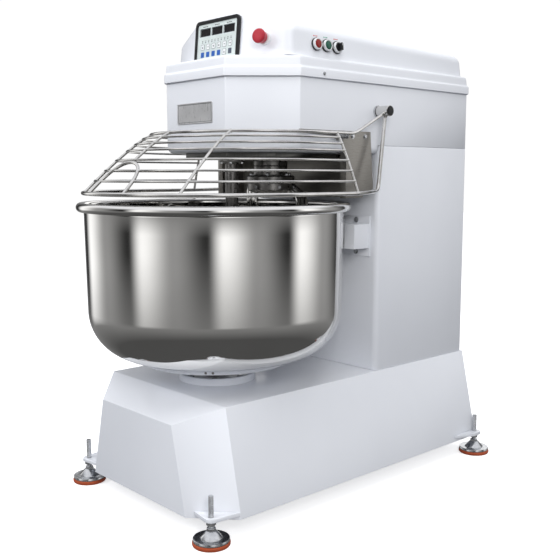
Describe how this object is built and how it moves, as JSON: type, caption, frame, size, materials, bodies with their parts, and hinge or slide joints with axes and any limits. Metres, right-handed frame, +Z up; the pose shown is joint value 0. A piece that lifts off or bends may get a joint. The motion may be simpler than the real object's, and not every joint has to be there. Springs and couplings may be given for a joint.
{
  "type": "spiral dough mixer",
  "caption": "Floor-standing spiral dough mixer: white head and column, turning stainless bowl, spiral hook, tilting wire guard and a tapered base on levelling feet.",
  "frame": {"origin": "on the floor, at the centre of the machine's bounding box", "axes": "+Z up, the bowl and the front at -Y, the column at +Y, +X to the right of the machine as seen from behind it"},
  "size_m": [0.6992, 1.1336, 1.231],
  "materials": {
    "white_enamel": "smooth semi-gloss white enamel",
    "polished_steel": "polished stainless steel",
    "satin_steel": "satin stainless steel",
    "zinc_steel": "bright zinc-plated steel",
    "cast_iron": "dark cast surface",
    "foot_rubber": "orange-red rubber",
    "belt_rubber": "black rubber belt",
    "black_plastic": "black moulded plastic",
    "keypad_film": "pale printed film",
    "display_glass": "dark display window",
    "red_plastic": "red moulded plastic",
    "green_plastic": "green moulded plastic",
    "plain_aluminium": "satin anodised plate",
    "roller_nylon": "dark nylon"
  },
  "bodies": {
    "machine": {"badge_plate": "plain_aluminium", "base_housing": "white_enamel", "bowl_bearing_housing": "white_enamel", "bowl_belt": "belt_rubber", "bowl_motor": "cast_iron", "breaker_bar": "polished_steel", "column_housing": "white_enamel", "control_panel_bezel": "black_plastic", "display_module": "display_glass", "e_stop_collar": "satin_steel", "foot_bracket_front_left": "white_enamel", "foot_bracket_front_right": "white_enamel", "foot_bracket_rear_left": "white_enamel", "foot_bracket_rear_right": "white_enamel", "foot_pad_front_left": "foot_rubber", "foot_pad_front_right": "foot_rubber", "foot_pad_rear_left": "foot_rubber", "foot_pad_rear_right": "foot_rubber", "foot_stud_front_left": "zinc_steel", "foot_stud_front_right": "zinc_steel", "foot_stud_rear_left": "zinc_steel", "foot_stud_rear_right": "zinc_steel", "guard_pivot_pin_left": "zinc_steel", "guard_pivot_pin_right": "zinc_steel", "guard_sensor": "zinc_steel", "head_bottom_tray": "satin_steel", "head_housing": "white_enamel", "hook_belt": "belt_rubber", "hook_motor": "cast_iron", "keypad_film": "keypad_film", "power_cable_gland": "black_plastic", "rear_cover": "white_enamel", "roller_bracket_left": "white_enamel", "roller_bracket_right": "white_enamel", "selector_bezel": "satin_steel", "side_plate_left": "satin_steel", "side_plate_right": "satin_steel", "spindle_bearing_housing": "cast_iron", "splash_cover": "satin_steel", "start_button_bezel": "satin_steel", "stop_button_bezel": "satin_steel", "top_cover": "white_enamel"},
    "bowl_body": {"bowl": "polished_steel", "bowl_support_ring": "white_enamel", "bowl_shaft": "zinc_steel", "bowl_pulley": "cast_iron"},
    "bowl_motor_rotor": {"bowl_motor_pulley": "cast_iron"},
    "hook_body": {"spiral_hook": "polished_steel", "hook_hub": "satin_steel", "hook_spindle": "zinc_steel", "hook_pulley": "cast_iron"},
    "hook_motor_rotor": {"hook_motor_pulley": "cast_iron"},
    "roller_left": {"guide_roller_left": "roller_nylon"},
    "roller_right": {"guide_roller_right": "roller_nylon"},
    "guard": {"wire_guard": "polished_steel"},
    "e_stop": {"e_stop_button": "red_plastic"},
    "stop": {"stop_button": "red_plastic"},
    "start": {"start_button": "green_plastic"},
    "selector": {"selector_knob": "black_plastic"}
  },
  "joints": [
    {"name": "bowl_spin", "type": "hinge", "parent": "machine", "child": "bowl_body", "pos_m": [0, -0.217, 0.3], "axis": [0, 0, 1], "continuous": true},
    {"name": "bowl_motor_spin", "type": "hinge", "parent": "machine", "child": "bowl_motor_rotor", "pos_m": [0, 0.223, 0.115], "axis": [0, 0, 1], "continuous": true},
    {"name": "hook_spin", "type": "hinge", "parent": "machine", "child": "hook_body", "pos_m": [0, -0.026, 0.9], "axis": [0, 0, 1], "continuous": true},
    {"name": "hook_motor_spin", "type": "hinge", "parent": "machine", "child": "hook_motor_rotor", "pos_m": [0, 0.343, 1.015], "axis": [0, 0, 1], "continuous": true},
    {"name": "roller_left_spin", "type": "hinge", "parent": "machine", "child": "roller_left", "pos_m": [-0.15, 0.10207, 0.6655], "axis": [0, 0, 1], "continuous": true},
    {"name": "roller_right_spin", "type": "hinge", "parent": "machine", "child": "roller_right", "pos_m": [0.15, 0.10207, 0.6655], "axis": [0, 0, 1], "continuous": true},
    {"name": "guard_tilt", "type": "hinge", "parent": "machine", "child": "guard", "pos_m": [0, 0.133, 0.992], "axis": [-1, 0, 0], "range_deg": [0, 62]},
    {"name": "e_stop_press", "type": "slide", "parent": "machine", "child": "e_stop", "axis": [-0.3041, 0.9486, -0.0872], "range_m": [0, 0.005], "stiffness_N_per_m": 400},
    {"name": "stop_press", "type": "slide", "parent": "machine", "child": "stop", "axis": [-0.9962, 0, -0.0872], "range_m": [0, 0.003], "stiffness_N_per_m": 250},
    {"name": "start_press", "type": "slide", "parent": "machine", "child": "start", "axis": [-0.9962, 0, -0.0872], "range_m": [0, 0.003], "stiffness_N_per_m": 250},
    {"name": "selector_turn", "type": "hinge", "parent": "machine", "child": "selector", "pos_m": [0.22346, -0.008, 1.142], "axis": [0.9962, 0, 0.0872], "range_deg": [-45, 45]}
  ],
  "couplings": [
    {"joint": "bowl_motor_spin", "follows": "bowl_spin", "ratio": 3.8148},
    {"joint": "hook_motor_spin", "follows": "hook_spin", "ratio": 2.3131},
    {"joint": "roller_left_spin", "follows": "bowl_spin", "ratio": -15.003},
    {"joint": "roller_right_spin", "follows": "bowl_spin", "ratio": -15.003}
  ]
}
